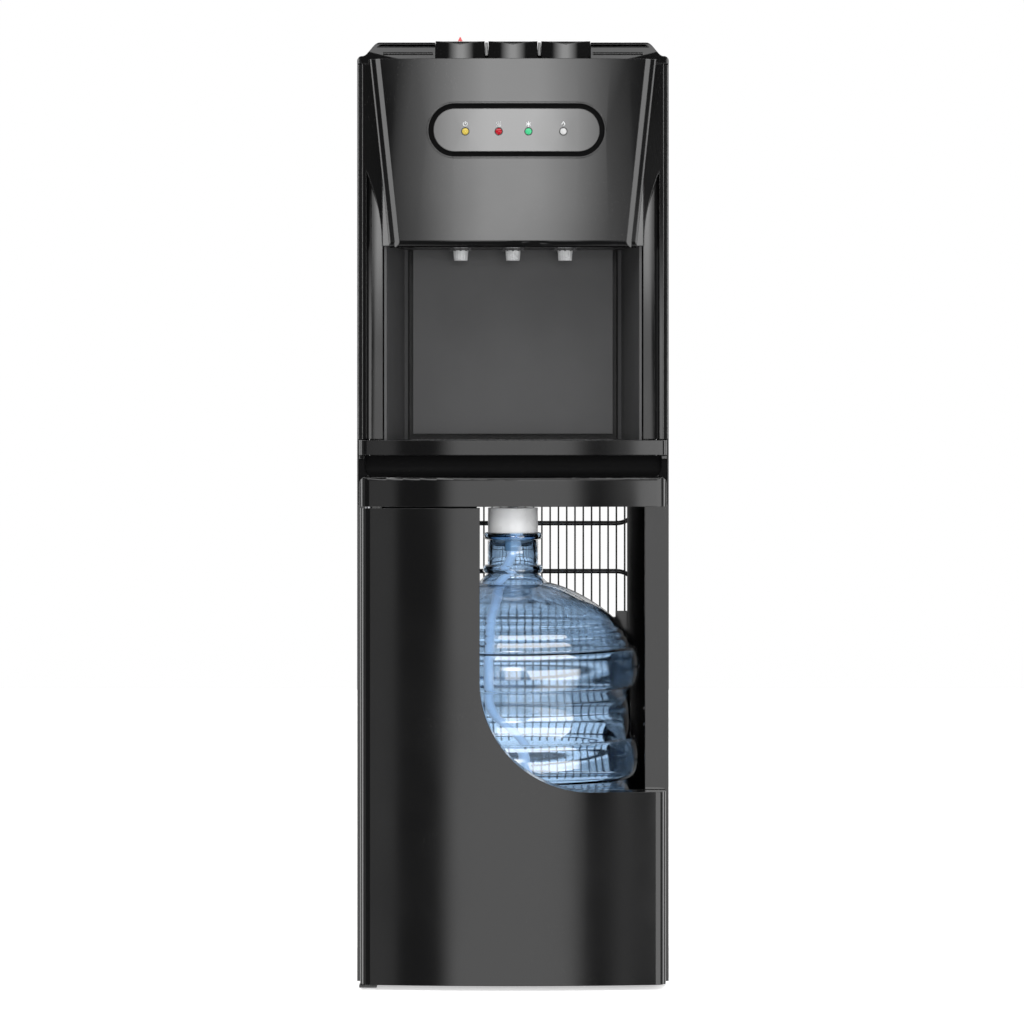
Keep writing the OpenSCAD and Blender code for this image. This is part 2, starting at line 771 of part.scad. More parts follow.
module compressor() color(painted_black) {
    translate([comp_x, comp_y, 0]) rotate_extrude() {
        translate([0, 540]) square([60, 100]);
        intersection() {
            union() {
                translate([0, 598]) circle(r = 73);
                translate([0, 582]) circle(r = 73);
            }
            translate([0, 518]) square([60, 150]);
        }
    }
    difference() {
        box([comp_x - 64, comp_y - 50, 515], [comp_x + 64, comp_y + 50, 518]);
        for (x = mount_x, y = mount_y) post(x, y, 514, 519, 7.1);
    }
    rod_x(comp_x - 75, comp_x - 55, comp_y, 600, 3.2);
    box([comp_x - 20, comp_y - 68, 575], [comp_x + 20, comp_y - 50, 615]);
}

module compressor_grommets() color("dimgray") for (x = mount_x, y = mount_y) {
    post(x, y, shelf_z + sheet, 515, 10);
    post(x, y, 515, 518, 7);
    post(x, y, 518, 521, 10);
    post(x, y, shelf_z - 2, shelf_z + sheet, 4);
}

function pass_z(k) = first_pass + k * pass_pitch;

module condenser_tube() color(painted_black) {
    for (k = [0:pass_count - 1]) rod_x(-bend_x, bend_x, tube_y, pass_z(k), tube_r);
    for (k = [0:pass_count - 2]) {
        side = k % 2 == 1 ? 1 : -1;
        translate([side * bend_x, tube_y, pass_z(k) + pass_pitch / 2]) rotate([90, 0, 0])
            rotate_extrude(start = side == 1 ? -90 : 90, angle = 180) translate([pass_pitch / 2, 0])
                circle(r = tube_r);
    }
}

module condenser_wires() color(painted_black) for (i = [0:wire_count - 1], side = [-1, 1])
    post((i - (wire_count - 1) / 2) * wire_pitch, tube_y + side * (tube_r + wire_r + wire_gap), wire_low,
         wire_high, wire_r);

module condenser_brackets() color(painted_black) for (side = [-1, 1], k = [1, 10])
    translate([side * 147, 0, pass_z(k)]) difference() {
        union() {
            box([-6, back_y, -14], [6, back_y + 2, 14]);
            box([-6, back_y, -2], [6, tube_y + 3, 2]);
        }
        for (z = [-9, 9]) rod_y(0, back_y - 1, back_y + 3, z, 1.9);
    }

module filter_drier() color("peru") translate([-120, 130, 0]) rotate_extrude() {
    translate([0, 560]) square([3, 110]);
    translate([0, 575]) square([11, 80]);
    translate([0, 570]) square([7, 90]);
}

module water_pump() color("slategray") {
    difference() {
        rod_y(-85, 52, 118, 546, 24);
        rod_y(-85, 50, 60, 546, 5);
    }
    box([-113, 60, shelf_z + sheet], [-57, 112, 526]);
    post(-85, 80, 560, 575, 6);
    post(-104, 96, 550, 575, 5);
}

module supply_hose() color("gainsboro") swept_tube(smooth_route(supply_route, 3), 4.6, 10, [1, 0.2, 0]);

module tank_hoses() color("gainsboro") {
    swept_tube(smooth_route(cold_fill_route, 2), 4, 8, [0, 1, 0]);
    swept_tube(smooth_route(hot_fill_route, 2), 4, 8, [0.3, 1, 0]);
}

// ---- bottle --------------------------------------------------------------------------------------

module bottle() color(bottle_blue) difference() {
    rotate_extrude($fn = 128) {
        polygon(concat([[0, bottle_z]], bottle_line(0), [[0, bottle_top]]));
    }
    rotate_extrude($fn = 128) {
        polygon(concat([[0, bottle_z + bottle_wall]], bottle_line(bottle_wall), [[0, bottle_top + 1]]));
    }
}

// Outer line of the bottle from its base to its mouth, moved inwards by the wall thickness
function rib(z, t) = [
    for (a = [-90:15:90]) [bottle_r - rib_in - t + rib_in * pow(cos(a), 0.7), z + rib_half * sin(a)]];
function shoulder(t) = [
    for (a = [0:9:90]) [
        shoulder_in - 0.4 * t + (bottle_r - rib_in - shoulder_in - 0.6 * t) * pow(cos(a), 1.5),
        shoulder_z + shoulder_h * pow(sin(a), 1.25) - t * sin(a)
    ]];
function neck_ring(z, h, r, t) = [
    for (a = [-90:30:90]) [neck_r - t + (r - neck_r) * pow(cos(a), 0.6), z + h * sin(a) / 2]];
function bottle_line(t) = concat(
    [for (a = [0:15:90]) [bottle_r - rib_in - 14 + (14 - t) * sin(a), bottle_z + 14 - (14 - t) * cos(a)]],
    rib(rib_z[0], t), rib(rib_z[1], t), rib(rib_z[2], t), rib(rib_z[3], t),
    shoulder(t),
    t > 0 ? [[neck_r - t, 420], [neck_r - t, bottle_top + 1]]
          : concat([[31, 416]], neck_ring(425.5, 9, 32.4, 0), neck_ring(461, 7.6, 31.3, 0)));

module probe_cap() color("white") difference() {
    union() {
        post(0, 0, bottle_top + 0.2, 491, 26.7);
        post(0, 0, bottle_top - 5, bottle_top + 0.4, 24.6);
        post(0, 0, 446, bottle_top, 9);
    }
    post(0, 0, 440, 450, 6.2);
    post(0, 0, 489.5, 492, 21);
}

module dip_tube() color("whitesmoke") swept_tube(smooth_route(dip_route, 3), 5.6, 10, [0, 1, 0]);

module dip_strainer() color("whitesmoke") translate([18, 0, 0]) difference() {
    union() {
        post(0, 0, bottle_z + 2, 32, 12);
        post(0, 0, 32, 38.5, 8);
    }
    for (a = [0:45:315]) rotate([0, 0, a]) box([9, -2, bottle_z + 5], [14, 2, 29]);
}

// ---- back details --------------------------------------------------------------------------------

module cord_gland() color("black") translate([-115, 0, 838]) difference() {
    union() {
        rod_y(0, back_inside - 3, back_y, 0, 8);
        rod_y(0, back_y, back_y + 3, 0, 12);
        translate([0, back_y + 3, 0]) rotate([-90, 0, 0]) cylinder(r1 = 8, r2 = 6, h = 14);
    }
    rod_y(0, back_inside - 10, back_y + 20, 0, 3.6);
}

module drain_plug() color("dimgray") translate([95, 0, 838]) {
    rod_y(0, back_inside - 12, back_y, 0, 9);
    difference() {
        rod_y(0, back_y, back_y + 13, 0, 13);
        for (a = [0:30:330]) rotate([0, a, 0]) rod_y(14, back_y + 3, back_y + 14, 0, 2);
    }
}

module hinge_pins() color(steel) {
    post(hinge_x, hinge_y, 2.5, 18, pin_r);
    post(hinge_x, hinge_y, door_top - 14, 506, pin_r);
}

module back_screw(x, z) difference() {
    union() {
        rod_y(x, back_inside - 6, back_y, z, 1.9);
        rod_y(x, back_y, back_y + 2, z, 4);
    }
    box([x - 3, back_y + 1.2, z - 0.5], [x + 3, back_y + 3, z + 0.5]);
    box([x - 0.5, back_y + 1.2, z - 3], [x + 0.5, back_y + 3, z + 3]);
}

// Panel screws, and the rivets that hold the condenser's brackets
module back_screws() color("silver") {
    for (x = [-152, 152], z = [60, 310, 440, 560, 690, 930]) back_screw(x, z);
    for (x = [-147, 147], pass = [1, 10], z = [-9, 9]) {
        rod_y(x, back_inside - 2.5, back_y + 2, pass_z(pass) + z, 1.8);
        rod_y(x, back_y + 2, back_y + 3.2, pass_z(pass) + z, 3.4);
    }
}

// Rocker that tips about its own axis, lying on its lower side
module rocker(x) translate([x, back_y + 0.5, 907]) rotate([8, 0, 0]) side_extrude(-9.4, 9.4)
    polygon([[-4, -11], [5, -12], [3, 0], [5, 12], [-4, 11], [-7, 0]]);

module hot_switch() color("red") rocker(-60);
module cold_switch() color("green") rocker(60);

// ---- door ----------------------------------------------------------------------------------------

// Front view of the part of the door that is cut away, grown by the given amount
module door_cutaway(grow) {
    corner = [cutaway_x + cutaway_r, cutaway_z + cutaway_r];
    translate(corner) circle(r = cutaway_r + grow, $fn = 180);
    translate([cutaway_x - grow, corner[1]]) square([half_w * 2, 400]);
    translate([corner[0], cutaway_z - grow]) square([half_w, 600]);
}

module door_panel() color(painted_black) difference() {
    union() {
        difference() {
            translate([0, 0, door_bottom]) linear_extrude(door_top - door_bottom)
                bowed_plan(door_half, 0, door_back, edge_r);
            difference() {
                translate([0, 0, door_bottom + skin]) linear_extrude(door_top - door_bottom - 2 * skin)
                    bowed_plan(door_half - skin, skin, door_back + 1, edge_r - skin);
                front_extrude(front_y - 1, 0) door_cutaway(skin);
            }
        }
        for (z = [door_bottom + 1, door_top - 16]) post(hinge_x, hinge_y, z, z + 15, boss_r);
    }
    front_extrude(front_y - 1, 0) door_cutaway(0);
    post(hinge_x, hinge_y, door_bottom - 1, door_bottom + 17, pin_r + pin_gap);
    post(hinge_x, hinge_y, door_top - 18, door_top + 1, pin_r + pin_gap);
}

module door_liner() color(matt_grey) difference() {
    union() {
        box([2 - door_half, door_back, door_bottom], [door_half - 2, liner_back, door_top]);
        difference() {
            box([-128, liner_back, 30], [128, liner_back + 2, door_top - 24]);
            box([-124, liner_back - 1, 34], [124, liner_back + 3, door_top - 28]);
            front_extrude(front_y, 0) door_cutaway(4);
        }
    }
    front_extrude(front_y - 1, 0) door_cutaway(0);
}

module door_magnet() color("dimgray") box([144, liner_back, 70], [152, liner_back + 2.4, 130]);

// ---- drip tray -----------------------------------------------------------------------------------

// Plan of the tray's basin, shrunk all round by the given amount
module tray_plan(shrink) {
    half = [niche_mouth_half - 6 - shrink, niche_back_half - 3 - shrink];
    polygon([
        [-half[0], tray_front + shrink], [half[0], tray_front + shrink],
        [half[1], tray_back - shrink], [-half[1], tray_back - shrink]
    ]);
}

module drip_tray() color(gloss_black) difference() {
    union() {
        translate([0, 0, tray_bottom]) linear_extrude(tray_top - tray_bottom) tray_plan(0);
        translate([0, 0, lip_bottom]) linear_extrude(tray_top - lip_bottom)
            bowed_plan(band_half, 3, fascia_back + 0.3, 9);
    }
    translate([0, 0, tray_bottom + 2.5]) linear_extrude(40) intersection() {
        tray_plan(3);
        translate([-half_w, fascia_back + 3.7]) square([cabinet_w, 200]);
    }
    translate([0, 0, grille_z]) linear_extrude(40) tray_plan(1.2);
}

module drip_grille() color(matt_grey) difference() {
    translate([0, 0, grille_z]) linear_extrude(2.8) tray_plan(1.6);
    for (i = [-15:15], row = [0:2]) translate([i * 6.8, tray_front + 10 + row * 36, 0])
        box([-1.7, 0, grille_z - 1], [1.7, 30, grille_z + 4]);
}

base_pan();
feet();
left_side_panel();
right_side_panel();
lower_back_panel();
upper_back_panel();
mid_shelf();
front_fascia();
left_column();
right_column();
niche_liner();
niche_ceiling();
head_front_panel();
display_window();
lamp_power();
lamp_heating();
lamp_cold();
lamp_empty();
lamp_board();
top_cover();
button_shaft();
button_springs();
valve_block();
spouts();
cold_tank();
evaporator_coil();
insulation_jacket();
hot_tank();
heater_band();
compressor();
compressor_grommets();
condenser_tube();
condenser_wires();
condenser_brackets();
filter_drier();
water_pump();
supply_hose();
tank_hoses();
bottle();
probe_cap();
dip_tube();
dip_strainer();
cord_gland();
drain_plug();
hinge_pins();
back_screws();
door_panel();
door_liner();
door_magnet();
drip_tray();
drip_grille();
button_hot();
button_room();
button_cold();
plunger_hot();
plunger_room();
plunger_cold();
child_lock();
hot_switch();
cold_switch();
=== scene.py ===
import json
import math

import bmesh
import bpy
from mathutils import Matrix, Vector

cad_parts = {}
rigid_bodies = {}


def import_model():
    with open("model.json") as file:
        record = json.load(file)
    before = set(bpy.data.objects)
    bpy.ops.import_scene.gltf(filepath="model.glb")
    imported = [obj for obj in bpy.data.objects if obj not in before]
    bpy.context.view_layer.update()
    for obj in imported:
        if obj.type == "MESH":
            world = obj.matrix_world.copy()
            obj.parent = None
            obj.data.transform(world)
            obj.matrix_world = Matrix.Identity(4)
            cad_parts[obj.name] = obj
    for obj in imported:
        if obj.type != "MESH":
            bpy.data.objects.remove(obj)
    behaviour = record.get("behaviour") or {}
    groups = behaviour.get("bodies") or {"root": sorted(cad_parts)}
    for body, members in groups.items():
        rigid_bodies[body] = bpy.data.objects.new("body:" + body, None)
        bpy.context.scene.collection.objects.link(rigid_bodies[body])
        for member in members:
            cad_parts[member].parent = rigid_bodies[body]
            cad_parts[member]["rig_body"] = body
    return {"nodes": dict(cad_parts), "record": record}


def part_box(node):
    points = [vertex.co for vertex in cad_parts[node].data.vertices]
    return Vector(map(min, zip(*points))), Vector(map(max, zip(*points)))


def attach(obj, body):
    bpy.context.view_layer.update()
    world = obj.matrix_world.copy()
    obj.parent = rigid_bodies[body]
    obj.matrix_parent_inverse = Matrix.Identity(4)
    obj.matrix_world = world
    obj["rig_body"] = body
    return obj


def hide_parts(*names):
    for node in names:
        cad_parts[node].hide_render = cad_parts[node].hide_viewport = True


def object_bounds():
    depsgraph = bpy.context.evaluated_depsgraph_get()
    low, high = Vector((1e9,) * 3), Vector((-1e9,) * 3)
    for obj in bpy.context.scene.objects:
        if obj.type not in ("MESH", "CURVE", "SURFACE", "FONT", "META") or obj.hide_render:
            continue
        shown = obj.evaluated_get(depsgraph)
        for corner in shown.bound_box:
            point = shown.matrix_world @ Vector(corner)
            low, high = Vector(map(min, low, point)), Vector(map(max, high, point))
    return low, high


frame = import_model()
cad_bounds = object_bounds()
low, high = cad_bounds

MM = 0.001
SCENE = bpy.context.scene
FRONT_Y = low.y
BOW_RADIUS = 1.3  # of all the front faces, in plan

CAMERA_DISTANCE = 4.0  # metres in front of the door
CAMERA_HEIGHT = 0.606
CAMERA_SIDE = -1 * MM
VIEW_WIDTH = 1.0496  # metres across the picture, at the door
HORIZON_ABOVE_MIDDLE = 0.109  # share of the picture's width

LOW_BOX = 1.95  # radiance of the front soft box as the door mirrors it
HIGH_BOX = 6.6  # and as the head mirrors it
SIDE_BOX = 3.8
DIM = 0.085  # the rest of the studio
WHITE = (1.0, 1.0, 1.0, 1.0)

GLOSS = (0.0024, 0.0024, 0.0025)


def make_camera():
    """Far in front and level, at about three fifths of the object's height."""
    data = bpy.data.cameras.new("camera")
    data.sensor_width = 36
    data.lens = data.sensor_width * CAMERA_DISTANCE / VIEW_WIDTH
    data.shift_y = -HORIZON_ABOVE_MIDDLE
    data.clip_end = 30
    camera = bpy.data.objects.new("camera", data)
    camera.location = (CAMERA_SIDE, FRONT_Y - CAMERA_DISTANCE, CAMERA_HEIGHT)
    camera.rotation_euler = (math.radians(90), 0, 0)
    SCENE.collection.objects.link(camera)
    SCENE.camera = camera


make_camera()
SCENE.view_settings.view_transform = "Standard"
SCENE.view_settings.look = "None"


# ---- node helpers -------------------------------------------------------------------------------


def add(tree, kind, **settings):
    """A new node with its properties set."""
    node = tree.nodes.new("ShaderNode" + kind)
    for name, value in settings.items():
        setattr(node, name, value)
    return node


def feed(tree, socket, value):
    """Links an output to an input, or sets the input to a plain value."""
    if isinstance(value, bpy.types.NodeSocket):
        tree.links.new(value, socket)
    else:
        socket.default_value = value


def math_node(tree, operation, a, b=0.5, c=0.5):
    node = add(tree, "Math", operation=operation)
    for socket, value in zip(node.inputs, (a, b, c)):
        feed(tree, socket, value)
    return node.outputs[0]


def ramp(tree, value, start, end, to_low=0.0, to_high=1.0, kind="LINEAR"):
    """Goes from to_low to to_high while the value goes from start to end, and stays level outside."""
    node = add(tree, "MapRange", interpolation_type=kind, clamp=True)
    for name, item in (("Value", value), ("From Min", start), ("From Max", end),
                       ("To Min", to_low), ("To Max", to_high)):
        feed(tree, node.inputs[name], item)
    return node.outputs["Result"]


def smooth_step(tree, value, start, end, to_low=0.0, to_high=1.0):
    return ramp(tree, value, start, end, to_low, to_high, "SMOOTHSTEP")


def object_axes(tree):
    """The place on the object, as one output for each axis."""
    split = add(tree, "SeparateXYZ")
    feed(tree, split.inputs[0], add(tree, "TexCoord").outputs["Object"])
    return split.outputs


def noise(tree, scale, detail, stretch=(1, 1, 1)):
    """Noise over the object's own coordinates; stretch below 1 draws the noise out along that axis."""
    where = add(tree, "TexCoord").outputs["Object"]
    mapping = add(tree, "Mapping")
    feed(tree, mapping.inputs["Vector"], where)
    mapping.inputs["Scale"].default_value = stretch
    node = add(tree, "TexNoise")
    feed(tree, node.inputs["Vector"], mapping.outputs["Vector"])
    node.inputs["Scale"].default_value = scale
    node.inputs["Detail"].default_value = detail
    node.inputs["Roughness"].default_value = 0.5
    return node.outputs["Fac"]


def mix_colour(tree, factor, a, b):
    node = add(tree, "Mix", data_type="RGBA")
    feed(tree, node.inputs["Factor"], factor)
    feed(tree, node.inputs[6], a)
    feed(tree, node.inputs[7], b)
    return node.outputs[2]


class Surface:
    """A Principled material that is built up in steps."""

    def __init__(self, name, colour, roughness, metallic=0.0, ior=1.5):
        self.material = bpy.data.materials.new(name)
        self.material.use_nodes = True
        self.tree = self.material.node_tree
        self.shader = self.tree.nodes["Principled BSDF"]
        self.colour = (*colour, 1.0)
        self.roughness = roughness
        self.normal = None
        self.set("Base Color", self.colour)
        self.set("Roughness", roughness)
        self.set("Metallic", metallic)
        self.set("IOR", ior)

    def set(self, socket, value):
        feed(self.tree, self.shader.inputs[socket], value)

    def vary_roughness(self, scale, spread, stretch=(1, 1, 1)):
        """Handled and cleaned areas: the gloss changes slowly over the surface."""
        cloud = noise(self.tree, scale, 4.0, stretch)
        self.roughness = smooth_step(self.tree, cloud, 0.3, 0.7, self.roughness - spread,
                                     self.roughness + spread)
        self.set("Roughness", self.roughness)

    def vary_colour(self, scale, other, low_edge=0.35, high_edge=0.7):
        """Patches of another colour, with soft borders between the two edges of the noise."""
        cloud = smooth_step(self.tree, noise(self.tree, scale, 5.0), low_edge, high_edge)
        self.colour = mix_colour(self.tree, cloud, self.colour, (*other, 1.0))
        self.set("Base Color", self.colour)

    def round_edges(self, radius):
        """Small moulded or pressed radius on every sharp edge."""
        bevel = add(self.tree, "Bevel", samples=4)
        bevel.inputs["Radius"].default_value = radius
        self.normal = bevel.outputs["Normal"]
        self.set("Normal", self.normal)

    def wear_edges(self, radius, colour, rough, strength=0.8):
        """Rubbed edges: the rounded normal leans away from the face's own normal there."""
        bevel = add(self.tree, "Bevel", samples=4)
        bevel.inputs["Radius"].default_value = radius
        dot = add(self.tree, "VectorMath", operation="DOT_PRODUCT")
        feed(self.tree, dot.inputs[0], bevel.outputs["Normal"])
        feed(self.tree, dot.inputs[1], add(self.tree, "NewGeometry").outputs["Normal"])
        edge = smooth_step(self.tree, dot.outputs["Value"], 0.99, 0.8)
        patchy = smooth_step(self.tree, noise(self.tree, 90, 5.0), 0.4, 0.65, 0.0, strength)
        worn = math_node(self.tree, "MULTIPLY", edge, patchy)
        self.colour = mix_colour(self.tree, worn, self.colour, (*colour, 1.0))
        self.set("Base Color", self.colour)
        raised = math_node(self.tree, "MULTIPLY", worn, rough)
        self.roughness = math_node(self.tree, "ADD", self.roughness, raised)
        self.set("Roughness", self.roughness)

    def bump(self, scale, height, detail=3.0, stretch=(1, 1, 1)):
        """Fine relief of the given height in metres."""
        node = add(self.tree, "Bump")
        node.inputs["Strength"].default_value = 1.0
        node.inputs["Distance"].default_value = height
        feed(self.tree, node.inputs["Height"], noise(self.tree, scale, detail, stretch))
        if self.normal is not None:
            feed(self.tree, node.inputs["Normal"], self.normal)
        self.normal = node.outputs["Normal"]
        self.set("Normal", self.normal)

    def dust(self, amount, colour=(0.35, 0.34, 0.33)):
        """Sparse pale specks that lie on the finish."""
        cell = add(self.tree, "TexVoronoi", feature="F1")
        feed(self.tree, cell.inputs["Vector"], add(self.tree, "TexCoord").outputs["Object"])
        cell.inputs["Scale"].default_value = 420
        speck = smooth_step(self.tree, cell.outputs["Distance"], 0.12, 0.05, 0.0, amount)
        where = smooth_step(self.tree, noise(self.tree, 14, 3.0), 0.5, 0.7)
        speck = math_node(self.tree, "MULTIPLY", speck, where)
        self.colour = mix_colour(self.tree, speck, self.colour, (*colour, 1.0))
        self.set("Base Color", self.colour)


# ---- materials ----------------------------------------------------------------------------------


def gloss_black():
    s = Surface("gloss_black", GLOSS, 0.07)
    s.vary_roughness(9, 0.02)
    s.wear_edges(0.5 * MM, (0.05, 0.05, 0.052), 0.2)
    s.dust(0.25)
    s.round_edges(0.9 * MM)
    s.bump(600, 0.0006 * MM)
    return s.material


def grey_base(name):
    s = Surface(name, (0.046, 0.046, 0.047), 0.5)
    s.vary_roughness(12, 0.03)
    s.vary_colour(25, (0.043, 0.043, 0.044))
    return s


def grain_grey(s):
    """Dust, soft edges and the fine grain of a matt moulding."""
    s.dust(0.3)
    s.round_edges(0.7 * MM)
    s.bump(2500, 0.02 * MM)
    return s.material


def matte_grey():
    s = grey_base("matte_grey")
    s.wear_edges(0.8 * MM, (0.15, 0.15, 0.152), 0.1)
    return grain_grey(s)


def liner_grey():
    """Matt grey, with painted shade: black in the gap round the raised plate of the back wall, where
    shade falls.
    """
    s = grey_base("liner_grey")
    plate_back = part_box("niche_liner")[1].y - 4.2 * MM
    # painted shade: everything behind the plate's back edge is coloured black
    painted_gap_shade = math_node(s.tree, "GREATER_THAN", object_axes(s.tree)["Y"], plate_back)
    s.colour = mix_colour(s.tree, painted_gap_shade, s.colour, (0.003, 0.003, 0.003, 1.0))
    s.set("Base Color", s.colour)
    return grain_grey(s)


def gloss_black_shaded_recess(name, depth, shine):
    """Gloss on the front face; all that lies deeper behind the bow than depth is made rough and barely
    reflective, which paints shade into the recesses.
    """
    s = Surface(name, GLOSS, 0.07)
    s.vary_roughness(9, 0.02)
    s.dust(0.2)
    axes = object_axes(s.tree)
    flat = add(s.tree, "CombineXYZ")
    feed(s.tree, flat.inputs[0], axes["X"])
    feed(s.tree, flat.inputs[1], math_node(s.tree, "SUBTRACT", axes["Y"], FRONT_Y + BOW_RADIUS))
    reach = add(s.tree, "VectorMath", operation="LENGTH")
    feed(s.tree, reach.inputs[0], flat.outputs[0])
    # painted shade: the deep parts lose most of their reflection, so they read black
    recess_shade = math_node(s.tree, "LESS_THAN", reach.outputs["Value"], BOW_RADIUS - depth)
    matt_roughness, recess_shade_shine = 0.5, 0.06
    rougher = matt_roughness - 0.07
    s.roughness = math_node(s.tree, "MULTIPLY_ADD", recess_shade, rougher, s.roughness)
    s.set("Roughness", s.roughness)
    s.set("Specular IOR Level", math_node(s.tree, "MULTIPLY_ADD", recess_shade, recess_shade_shine - shine, shine))
    s.round_edges(0.9 * MM)
    s.bump(600, 0.0006 * MM)
    return s.material


def painted_steel():
    s = Surface("painted_steel", (0.0026, 0.0026, 0.0027), 0.08)
    s.vary_roughness(7, 0.02)
    s.wear_edges(0.5 * MM, (0.09, 0.09, 0.092), 0.25)
    s.dust(0.25)
    s.round_edges(0.8 * MM)
    s.bump(420, 0.0008 * MM)
    return s.material


def bare_steel():
    s = Surface("bare_steel", (0.55, 0.56, 0.58), 0.32, metallic=1.0)
    s.vary_roughness(30, 0.1)
    s.vary_colour(60, (0.38, 0.38, 0.39))
    s.wear_edges(0.4 * MM, (0.75, 0.75, 0.76), 0.05)
    s.round_edges(0.4 * MM)
    s.bump(900, 0.004 * MM, stretch=(1, 1, 0.1))
    return s.material


def stainless():
    s = Surface("stainless", (0.62, 0.63, 0.65), 0.26, metallic=1.0)
    s.vary_roughness(20, 0.08, stretch=(1, 1, 8))
    s.vary_colour(18, (0.5, 0.5, 0.51))
    s.wear_edges(0.5 * MM, (0.8, 0.8, 0.81), 0.05)
    s.round_edges(0.8 * MM)
    s.bump(260, 0.003 * MM, stretch=(0.2, 0.2, 6))
    return s.material


def black_rubber():
    s = Surface("black_rubber", (0.018, 0.018, 0.019), 0.7)
    s.vary_roughness(25, 0.1)
    s.vary_colour(40, (0.035, 0.035, 0.034))
    s.wear_edges(0.8 * MM, (0.07, 0.07, 0.068), 0.1)
    s.dust(0.4)
    s.round_edges(0.6 * MM)
    s.bump(1400, 0.02 * MM)
    return s.material


def milky_silicone():
    s = Surface("milky_silicone", (0.8, 0.83, 0.86), 0.3, ior=1.42)
    s.set("Transmission Weight", 0.35)
    s.set("Subsurface Weight", 0.3)
    s.set("Subsurface Radius", (0.004, 0.004, 0.004))
    s.vary_roughness(60, 0.08)
    s.vary_colour(90, (0.72, 0.75, 0.79))
    s.bump(700, 0.004 * MM)
    return s.material


def dip_tube_painted_glow():
    """Milky hose with a painted glow: it gives out light of its own, standing in for the light that
    reaches it through the bottle.
    """
    s = Surface("dip_tube_painted_glow", (0.8, 0.85, 0.9), 0.35, ior=1.42)
    # painted light: a glow of its own in place of the light that passes the bottle wall
    s.set("Emission Color", (0.85, 0.9, 1.0, 1.0))
    s.set("Emission Strength", 0.42)
    s.vary_roughness(60, 0.08)
    s.vary_colour(90, (0.72, 0.78, 0.84))
    s.bump(700, 0.004 * MM)
    return s.material


def frosted_plastic():
    s = Surface("frosted_plastic", (0.5, 0.505, 0.51), 0.3)
    s.set("Transmission Weight", 0.2)
    s.vary_roughness(80, 0.08)
    s.vary_colour(160, (0.42, 0.425, 0.43))
    s.bump(900, 0.006 * MM)
    return s.material


def white_plastic():
    s = Surface("white_plastic", (0.82, 0.83, 0.84), 0.3)
    s.vary_roughness(22, 0.06)
    s.vary_colour(35, (0.74, 0.745, 0.75))
    s.wear_edges(0.6 * MM, (0.6, 0.59, 0.56), 0.15, 0.5)
    s.dust(0.15, (0.45, 0.43, 0.4))
    s.round_edges(0.6 * MM)
    s.bump(900, 0.003 * MM)
    return s.material


def blue_polycarbonate():
    """Clear blue bottle wall that lets the lamps' light through, and is darker the thicker it is."""
    s = Surface("blue_polycarbonate", (0.74, 0.865, 0.985), 0.05, ior=1.5)
    s.set("Transmission Weight", 1.0)
    s.set("Coat Weight", 1.0)
    s.set("Coat IOR", 2.0)
    s.set("Coat Roughness", 0.04)
    s.vary_roughness(15, 0.02)
    s.bump(16, 0.35 * MM, stretch=(1, 1, 0.35))
    s.bump(1200, 0.001 * MM)
    absorb = add(s.tree, "VolumeAbsorption")
    absorb.inputs["Color"].default_value = (0.05, 0.4, 0.75, 1.0)
    absorb.inputs["Density"].default_value = 32
    output = s.tree.nodes["Material Output"]
    feed(s.tree, output.inputs["Volume"], absorb.outputs["Volume"])
    clear = add(s.tree, "BsdfTransparent")
    clear.inputs["Color"].default_value = (0.55, 0.74, 0.9, 1.0)
    mix = add(s.tree, "MixShader")
    feed(s.tree, mix.inputs[0], add(s.tree, "LightPath").outputs["Is Shadow Ray"])
    feed(s.tree, mix.inputs[1], s.shader.outputs[0])
    feed(s.tree, mix.inputs[2], clear.outputs[0])
    feed(s.tree, output.inputs["Surface"], mix.outputs[0])
    return s.material


def lamp_lens(name, colour, glow):
    s = Surface(name, colour, 0.12)
    s.set("Transmission Weight", 0.3)
    s.set("Emission Color", (*colour, 1.0))
    s.set("Emission Strength", glow)
    s.vary_roughness(300, 0.04)
    s.bump(2600, 0.006 * MM)
    return s.material


def lamp_rim():
    s = Surface("lamp_rim", (0.012, 0.01, 0.01), 0.35)
    s.vary_roughness(200, 0.08)
    s.bump(1800, 0.01 * MM)
    return s.material


def circuit_green():
    s = Surface("circuit_green", (0.02, 0.16, 0.06), 0.35)
    s.vary_colour(300, (0.04, 0.24, 0.09), 0.48, 0.52)
    s.vary_roughness(150, 0.1)
    s.wear_edges(0.3 * MM, (0.35, 0.3, 0.16), 0.2)
    s.bump(800, 0.02 * MM)
    return s.material


def foam_white():
    s = Surface("foam_white", (0.8, 0.8, 0.76), 0.85)
    s.vary_colour(50, (0.66, 0.65, 0.6))
    s.vary_roughness(40, 0.1)
    s.wear_edges(1.5 * MM, (0.6, 0.58, 0.52), 0.05)
    s.bump(260, 0.35 * MM, 4.0)
    return s.material


def copper():
    s = Surface("copper", (0.72, 0.34, 0.19), 0.3, metallic=1.0)
    s.vary_colour(45, (0.34, 0.15, 0.09))
    s.vary_roughness(60, 0.14)
    s.bump(500, 0.008 * MM)
    return s.material


def black_plastic():
    s = Surface("black_plastic", (0.02, 0.02, 0.021), 0.42)
    s.vary_roughness(30, 0.08)
    s.vary_colour(45, (0.03, 0.03, 0.031))
    s.wear_edges(0.6 * MM, (0.08, 0.08, 0.08), 0.1)
    s.dust(0.3)
    s.round_edges(0.5 * MM)
    s.bump(1600, 0.012 * MM)
    return s.material


def coloured_plastic(name, colour):
    s = Surface(name, colour, 0.2)
    s.vary_roughness(50, 0.06)
    s.vary_colour(70, tuple(0.75 * c for c in colour))
    s.wear_edges(0.4 * MM, tuple(min(1.0, 1.5 * c + 0.06) for c in colour), 0.15)
    s.round_edges(0.4 * MM)
    s.bump(900, 0.004 * MM)
    return s.material


